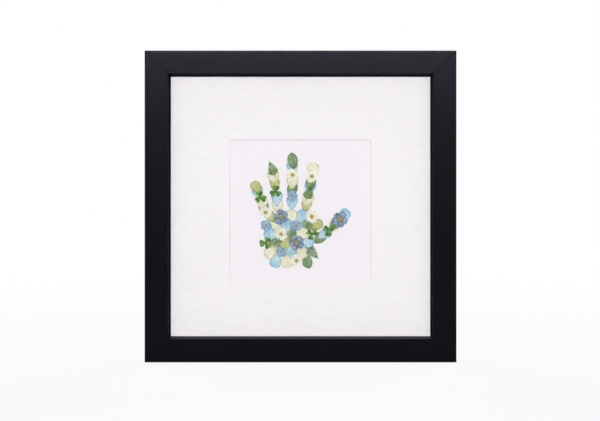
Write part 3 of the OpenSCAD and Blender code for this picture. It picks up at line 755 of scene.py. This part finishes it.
whorl, start, given = new_growth(
    "whorl", ("Part", "Object"), ("Count", "Int"), ("Radius", "Float"), ("Loose", "Float"),
    ("Lift", "Float"), ("Seed", "Int"))
index = start.node("GeometryNodeInputIndex")
around = 2 * math.pi / given["Count"]
angle = index * around + chance(index, -1.0, 1.0, given["Seed"]) * given["Loose"]
feet = start.node("ShaderNodeCombineXYZ", {}, {
    "X": angle.of("SINE") * given["Radius"],
    "Y": angle.of("COSINE") * given["Radius"],
    "Z": given["Lift"] * ((index * 2).of("MODULO", given["Count"]) / given["Count"])})
part = start.node("GeometryNodeObjectInfo", {}, {"Object": given["Part"]})["Geometry"]
turned = start.node("ShaderNodeCombineXYZ", {}, {"Z": -angle})
close_growth(given, feet, part, turned, chance(index, 0.9, 1.08, given["Seed"] + 7))

# The leaflets are painted darker on one half, painted shade as of a fold along the midrib.
clover_green = veined("clover_green", body=srgb(116, 180, 66), pale=srgb(168, 214, 104),
                      root=srgb(158, 194, 120),
                      rim=srgb(38, 84, 18), vein=srgb(30, 76, 14), count=8, fan=False,
                      side_slant=0.9, half=0.5)


def clover_sheet(seed):
    """One clover leaf."""
    heart = petal_outline(*CLOVER_LEAFLET, 64, seed, waist=0.34, notch=0.13, wave=0.015)
    heart[:, 1] += CLOVER_LEAFLET[0] / 2
    leaflet = curl(ring_sheet(heart, (0, 2.5), rings=9), seed, cup=0.04, flutter=0.07)
    return grown(whorl, leaflet, clover_green, Count=3, Radius=0.05, Loose=0.06, Lift=0.03,
                 Seed=seed)


pressed["clover_leaves"] = (clover_green, "clover_green", clover_sheet)


# Forget-me-nots: small pressed flowers of five round blue petals, white where they meet, that
# lie over and under one another.
FORGET_SIZE = 8.6

forget_me_not_blue = veined(
    "forget_me_not_blue", body=srgb(150, 190, 224), pale=srgb(198, 220, 236),
    root=srgb(230, 234, 234), rim=srgb(90, 134, 188), vein=srgb(84, 128, 184), count=5,
    mottle=0.38)


def forget_sheet(seed):
    """One forget-me-not, without its eye."""
    rim = petal_outline(FORGET_SIZE * 0.46, FORGET_SIZE * 0.44, 56, seed, waist=0.4, wave=0.02)
    rim[:, 1] += FORGET_SIZE * 0.25
    petal = curl(ring_sheet(rim, (0, 2.4), rings=9, fan_from=0.8), seed, cup=0.05, flutter=0.08)
    return grown(whorl, petal, forget_me_not_blue, Count=5, Radius=0.1, Loose=0.05, Lift=0.09,
                 Seed=seed)


pressed["forget_me_nots"] = (forget_me_not_blue, "forget_me_not_blue", forget_sheet)


# Daisies: pressed flower heads of thirteen narrow white rays round a yellow eye. The rays have
# a greenish foot and lie loosely over one another.
DAISY_SIZE = 10.0

daisy_white = veined("daisy_white", body=srgb(252, 251, 244), pale=srgb(254, 254, 250),
                     root=srgb(216, 218, 160),
                     rim=srgb(222, 216, 190), vein=srgb(206, 200, 170), count=4, mottle=0.25)


def daisy_sheet(seed):
    """One daisy, without its eye."""
    rim = petal_outline(DAISY_SIZE * 0.43, DAISY_SIZE * 0.155, 36, seed, waist=0.55, notch=0.03,
                        point=0.8, wave=0.015)
    rim[:, 1] += DAISY_SIZE * 0.285
    floret = curl(ring_sheet(rim, (0, 2.9), rings=6, fan_from=3.0), seed, cup=0.05, flutter=0.07)
    return grown(whorl, floret, daisy_white, Count=13, Radius=0.0, Loose=0.09, Lift=0.12,
                 Seed=seed)


pressed["daisies"] = (daisy_white, "daisy_white", daisy_sheet)


# Slate blossoms: open flowers of five slate-blue petals, crumpled and creased as they were
# pressed, with a dark throat. Their creases are sunk in the bump and also painted darker, as
# painted shade.
SLATE_SIZE = 12.0

slate_petal = veined("slate_petal", body=srgb(158, 183, 208), pale=srgb(204, 218, 228),
                     root=srgb(56, 70, 104),
                     rim=srgb(78, 102, 144), vein=srgb(64, 86, 126), count=5, mottle=0.62,
                     streak=(5.0, 2.0), crease_and_shade=0.75)


def slate_sheet(seed):
    """One slate blossom, without its eye."""
    rim = petal_outline(SLATE_SIZE * 0.47, SLATE_SIZE * 0.43, 64, seed, waist=0.42, notch=0.03,
                        wave=0.05)
    rim[:, 1] += SLATE_SIZE * 0.25
    petal = curl(ring_sheet(rim, (0, 3.2), rings=12, fan_from=1.0), seed, cup=0.06, flutter=0.16)
    return grown(whorl, petal, slate_petal, Count=5, Radius=0.1, Loose=0.1, Lift=0.12, Seed=seed)


pressed["slate_blossoms"] = (slate_petal, "slate_petal", slate_sheet)


# Flower eyes: a low dome of pollen grains on a disc in the middle of each daisy, forget-me-not
# and slate blossom, packed by the golden angle as they grow.
GOLDEN = 137.508
POLLEN_LIGHT = srgb(230, 212, 104)
POLLEN_DARK = srgb(150, 98, 34)
EYE_SHARE = 0.13
EYE_GRAINS = 46
EYE_HIGH = 0.2
EYE_SIZES = {"daisies": DAISY_SIZE, "forget_me_nots": FORGET_SIZE, "slate_blossoms": SLATE_SIZE}

pollen_yellow, start, place = new_material("pollen_yellow")
grainy = place.noise(3.2, 3)
surface(start, Base_Color=grainy.step(0.35, 0.62).mix(POLLEN_LIGHT, POLLEN_DARK),
        Roughness=0.8, Normal=grainy.bump(0.00004))

eye_tree, start, given = new_growth(
    "eye", ("Count", "Int"), ("Radius", "Float"), ("Grain", "Float"), ("Height", "Float"))
index = start.node("GeometryNodeInputIndex")
part_out = ((index + 0.5) / given["Count"]).of("SQRT")
angle = index * math.radians(GOLDEN)
spots = start.node("ShaderNodeCombineXYZ", {}, {
    "X": angle.of("COSINE") * part_out * given["Radius"],
    "Y": angle.of("SINE") * part_out * given["Radius"],
    "Z": given["Height"] * (1 - part_out * part_out)})
grain = start.node("GeometryNodeMeshIcoSphere", {}, {
    "Radius": given["Grain"], "Subdivisions": 2})
close_growth(given, spots, grain, (0, 0, 0), chance(index, 0.7, 1.15, 3))


def eye_sheet(size):
    """A flower's eye: its grains, and the disc that they sit on."""
    radius = EYE_SHARE * size
    mesh = grow(eye_tree, pollen_yellow, Count=EYE_GRAINS, Radius=radius * 0.88,
                Grain=radius * 0.13, Height=EYE_HIGH)
    mesh.attributes.new("place", "FLOAT_VECTOR", "POINT")
    turn = np.linspace(0, 2 * np.pi, 40, endpoint=False)
    circle = radius * np.column_stack([np.sin(turn), -np.cos(turn)])
    disc = ring_sheet(circle, (0, 0), rings=5)
    disc[0][:, 2] += EYE_HIGH * (1 - disc[1][:, 2] ** 2)
    return as_sheet(mesh), disc


# The hand: the pressed pieces are dabbed down on the board with glue in the shape of a baby's
# hand, six rows for the palm and a file for each finger, in three layers. Each sheet rests on
# the board or on what lies under it, drawn smooth over the steps.
BOARD_FACE = -0.8
GLASS_ROOM = 1.22
FIRST_SEED = 11
HAND_HIGH = 86.0
DRAWN_HIGH = 85.5
HAND_MIDDLE = (1.8, 2.4)
PALM_CENTRE = (-5.0, -18.4)
PALM_STEP = 7.5
LAYERS = 3
SWAY = 14.0
SHEET_THICK = 0.05
SHEET_CLEAR = 0.01
EYE_CLEAR = 0.02
EYE_FEELERS = 12
FINGERS = (
    ((-24, 1), -20, 19.5, 2, ("daisies", "sage_leaves", "cream_petals", "clover_leaves",
                              "blue_petals", "olive_petals")),
    ((-15, 5.5), -8, 27, 0, ("cream_petals", "blue_petals", "clover_leaves", "olive_petals",
                             "cream_petals", "fern_tips")),
    ((-4.5, 8), 1, 31, 1, ("blue_petals", "forget_me_nots", "sage_leaves", "cream_petals",
                           "daisies", "blue_petals", "sage_leaves")),
    ((6, 6), 11, 26.5, 0, ("olive_petals", "cream_petals", "fern_tips", "blue_petals",
                           "sage_leaves", "daisies", "cream_petals")),
    ((16.6, -17.4), 47, 23.5, 0, ("sage_leaves", "blue_petals", "clover_leaves", "cream_petals",
                                  "sage_leaves", "slate_blossoms", "blue_petals")),
)
PALM = (
    (-4, ("olive_petals", "slate_blossoms", "cream_petals", "blue_petals", "daisies")),
    (-5, ("forget_me_nots", "cream_petals", "blue_petals", "forget_me_nots", "sage_leaves",
          "olive_petals")),
    (-4, ("blue_petals", "daisies", "sage_leaves", "cream_petals", "clover_leaves")),
    (-5, ("clover_leaves", "sage_leaves", "olive_petals", "slate_blossoms", "blue_petals")),
    (-4, ("cream_petals", "forget_me_nots", "blue_petals", "cream_petals", "fern_tips")),
    (-3, ("blue_petals", "cream_petals", "daisies", "sage_leaves")),
)
DRAPE_PASSES = 14
DRAPE_SAG = 0.006
FEELER = 0.22


def sway(k):
    """How far a piece leans out of its file or row, in degrees."""
    return SWAY * math.sin(math.radians(GOLDEN * k * 3))


plan = []
for root, lean, reach, first_layer, kinds in FINGERS:
    for k, kind in enumerate(kinds):
        along = reach * k / (len(kinds) - 1)
        spot = (root[0] + along * math.sin(math.radians(lean)),
                root[1] + along * math.cos(math.radians(lean)))
        plan.append((kind, spot, lean + sway(k), (first_layer + k) % LAYERS))
for row, (half_step, kinds) in enumerate(PALM):
    for k, kind in enumerate(kinds):
        steps = half_step + 2 * k
        spot = (PALM_STEP * steps / 2, PALM_STEP * (2.5 - row) * math.sin(math.radians(60)))
        turn = math.degrees(math.atan2(*spot)) + sway(k + row)
        layer = ((steps - 3 * row) // 2 + 18) % LAYERS
        plan.append((kind, (PALM_CENTRE[0] + spot[0], PALM_CENTRE[1] + spot[1]), turn, layer))


def closed_body(sheet):
    """A thin closed body: the sheet, its back, and a wall round each rim."""
    points, place, faces = sheet
    count = len(points)
    back = points - [0, 0, SHEET_THICK]
    edges = {(a, b) for face in faces for a, b in zip(face, face[1:] + face[:1])}
    walls = [(b, a, a + count, b + count) for a, b in sorted(edges) if (b, a) not in edges]
    under = [tuple(i + count for i in reversed(face)) for face in faces]
    return np.vstack([points, back]), np.vstack([place, place]), faces + under + walls


def in_frame(points):
    """Window millimetres with height to the frame's metres."""
    return np.column_stack([points[:, 0], BOARD_FACE - points[:, 2], points[:, 1]]) / 1000


def height_below(tree, flat):
    """The height of what lies at each place, felt at the place itself and close round it."""
    if tree is None:
        return np.zeros(len(flat))
    best = np.zeros(len(flat))
    for dx, dy in ((0, 0), (FEELER, 0), (-FEELER, 0), (0, FEELER), (0, -FEELER)):
        for k, (px, py) in enumerate(flat):
            hit = tree.ray_cast(Vector((px + dx, py + dy, 5)), Vector((0, 0, -1)))[0]
            if hit is not None and hit.z > best[k]:
                best[k] = hit.z
    return best


def drape(points, faces, below):
    """The heights of a sheet that rests on what is below it."""
    pairs = np.array([(a, b) for face in faces for a, b in zip(face, face[1:] + face[:1])])
    links = np.vstack([pairs, pairs[:, ::-1]])
    number = np.bincount(links[:, 0], minlength=len(points))
    height = below.copy()
    for _ in range(DRAPE_PASSES):
        total = np.bincount(links[:, 0], weights=height[links[:, 1]], minlength=len(points))
        height = np.maximum(below, total / number - DRAPE_SAG)
    return height


unit = HAND_HIGH / DRAWN_HIGH
laid = []
heaps = {kind: [] for kind in pressed}
heaps["flower_eyes"] = []
for layer in range(LAYERS):
    tree = None
    if laid:
        under = gather(laid)
        tree = BVHTree.FromPolygons(under[0].tolist(), under[2])
    fresh = []
    for number, (kind, spot, turn, own_layer) in enumerate(plan):
        if own_layer != layer:
            continue
        points, place, faces = pressed[kind][2](number + FIRST_SEED)
        cos, sin = math.cos(math.radians(turn)), math.sin(math.radians(turn))

        def put(flat):
            """A piece's own millimetres to the window's."""
            return np.column_stack([
                unit * (spot[0] - HAND_MIDDLE[0] + flat[:, 0] * cos + flat[:, 1] * sin),
                unit * (spot[1] - HAND_MIDDLE[1] - flat[:, 0] * sin + flat[:, 1] * cos)
                + WINDOW_MIDDLE])

        flat = put(points[:, :2])
        rest = drape(points, faces, height_below(tree, flat))
        lift = points[:, 2] - points[:, 2].min()
        top = np.column_stack([flat, rest + SHEET_THICK + SHEET_CLEAR + lift])
        fresh.append((top, place, faces))
        tint = np.random.default_rng(number).uniform()
        heaps[kind].append((closed_body(fresh[-1]), tint))
        if kind in EYE_SIZES:
            grains, disc = eye_sheet(EYE_SIZES[kind])
            from_middle = np.hypot(*(flat - put(np.zeros((1, 2)))).T)
            middle = top[np.argsort(from_middle)[:EYE_FEELERS], 2].max() + EYE_CLEAR
            grains, disc = (
                (np.column_stack([put(p[:, :2]), p[:, 2] + middle]), own, ring)
                for p, own, ring in (grains, disc))
            heaps["flower_eyes"] += [(grains, tint), (closed_body(disc), tint)]
    laid += fresh

highest = max(sheet[0][:, 2].max() for heap in heaps.values() for sheet, tint in heap)
squeeze = min(1.0, GLASS_ROOM / highest)
for kind, heap in heaps.items():
    material, slot_name = pressed[kind][:2] if kind in pressed else (pollen_yellow, "pollen_yellow")
    points, place, faces = gather([sheet for sheet, tint in heap])
    points[:, 2] *= squeeze
    mesh = as_mesh(kind + "_pressed", (in_frame(points), place, faces))
    tints = np.concatenate([np.full(len(sheet[0]), tint) for sheet, tint in heap])
    mesh.attributes.new("tint", "FLOAT", "POINT").data.foreach_set(
        "value", tints.astype(np.float32))
    mesh.polygons.foreach_set("use_smooth", np.ones(len(mesh.polygons), bool))
    mesh.materials.append(material)
    made = bpy.data.objects.new(kind + "_pressed", mesh)
    scene.collection.objects.link(made)
    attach(made, "frame")
    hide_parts(kind)


# The filler board behind the picture: plain grey chipboard with flecks of pulp. It packs out
# the rebate, so that the back panel presses the picture against the glass.
GREY_BOARD = srgb(150, 145, 136)
GREY_FLECK = srgb(112, 106, 98)

grey_board, start, place = new_material("grey_board")
flecks = place.times(1, 1, 0.35).noise(2.2, 5, 0.75)
surface(start, Base_Color=flecks.step(0.5, 0.72).mix(GREY_BOARD, GREY_FLECK), Roughness=0.92,
        Specular_IOR_Level=0.15, Normal=flecks.bump(0.00005))
dress(grey_board, "filler_board")


# The back panel: 3 mm hardboard, faced with black paper that has a fine leather grain. The
# turn buttons hold it, and the strut's hinge is riveted to it.
PANEL_BLACK = srgb(34, 33, 34)
PANEL_SCUFF = srgb(70, 67, 65)
LEATHER_HEIGHT = 0.00009


def leather(place):
    """The height of the paper's pebbled grain."""
    return place.node("ShaderNodeTexVoronoi", {"feature": "SMOOTH_F1"}, {
        "Vector": place, "Scale": 1.15, "Smoothness": 0.5})["Distance"]


black_backed_hardboard, start, place = new_material("black_backed_hardboard")
scuffs = place.times(0.3, 1, 1).noise(0.16, 6, 0.7).step(0.58, 0.78)
surface(start, Base_Color=(scuffs * 0.45).mix(PANEL_BLACK, PANEL_SCUFF),
        Roughness=0.62 + 0.15 * scuffs, Specular_IOR_Level=0.35,
        Normal=leather(place).bump(LEATHER_HEIGHT))
dress(black_backed_hardboard, "back_panel")


# The easel strut: 2.5 mm board with the same black paper on both faces. Its cut edge shows the
# grey core, and its leaf of the hinge is riveted on.
STRUT_FACES = (8.16, 10.54)
STRUT_CORE = srgb(98, 92, 84)
STRUT_FIBRE = srgb(60, 56, 52)

black_faced_board, start, place = new_material("black_faced_board")
x, y, z = place.axes()
edge = (y > STRUT_FACES[0]) * (y < STRUT_FACES[1])
fibres = place.times(1, 3.5, 0.5).noise(2.5, 4, 0.7)
rubbed = place.noise(0.25, 5, 0.7).step(0.6, 0.8)
surface(start,
        Base_Color=edge.mix((rubbed * 0.5).mix(PANEL_BLACK, PANEL_SCUFF),
                            fibres.step(0.3, 0.7).mix(STRUT_CORE, STRUT_FIBRE)),
        Roughness=0.6 + 0.3 * edge, Specular_IOR_Level=0.35,
        Normal=(leather(place) * (1 - edge) + fibres * edge).bump(LEATHER_HEIGHT))
dress(black_faced_board, "easel_strut")


# The hinge leaves, turn buttons and sawtooth hanger: stamped from zinc-plated sheet, with the
# rolled grain of the strip, faint blue spangle and small rub marks.
ZINC = srgb(188, 190, 194)
ZINC_DARK = srgb(142, 145, 151)

zinc_steel, start, place = new_material("zinc_steel")
grain = place.times(0.35, 1, 6).noise(1.3, 5, 0.65)
spangle = start.node("ShaderNodeTexVoronoi", {}, {"Vector": place, "Scale": 0.45})["Color"]
cell = spangle.node("ShaderNodeSeparateColor", {}, {"Color": spangle})
rubs = place.times(2, 1, 0.4).noise(1.1, 6, 0.75).step(0.58, 0.72)
surface(start, Base_Color=(0.35 * cell + 0.35 * grain).mix(ZINC, ZINC_DARK), Metallic=1.0,
        Roughness=0.3 + 0.12 * cell + 0.18 * rubs, Normal=grain.bump(0.00003))
dress(zinc_steel, "hinge_panel_leaf", "hinge_strut_leaf", "sawtooth_hanger",
      "turn_button_top_left", "turn_button_top_right", "turn_button_right",
      "turn_button_bottom_right", "turn_button_bottom_left", "turn_button_left")
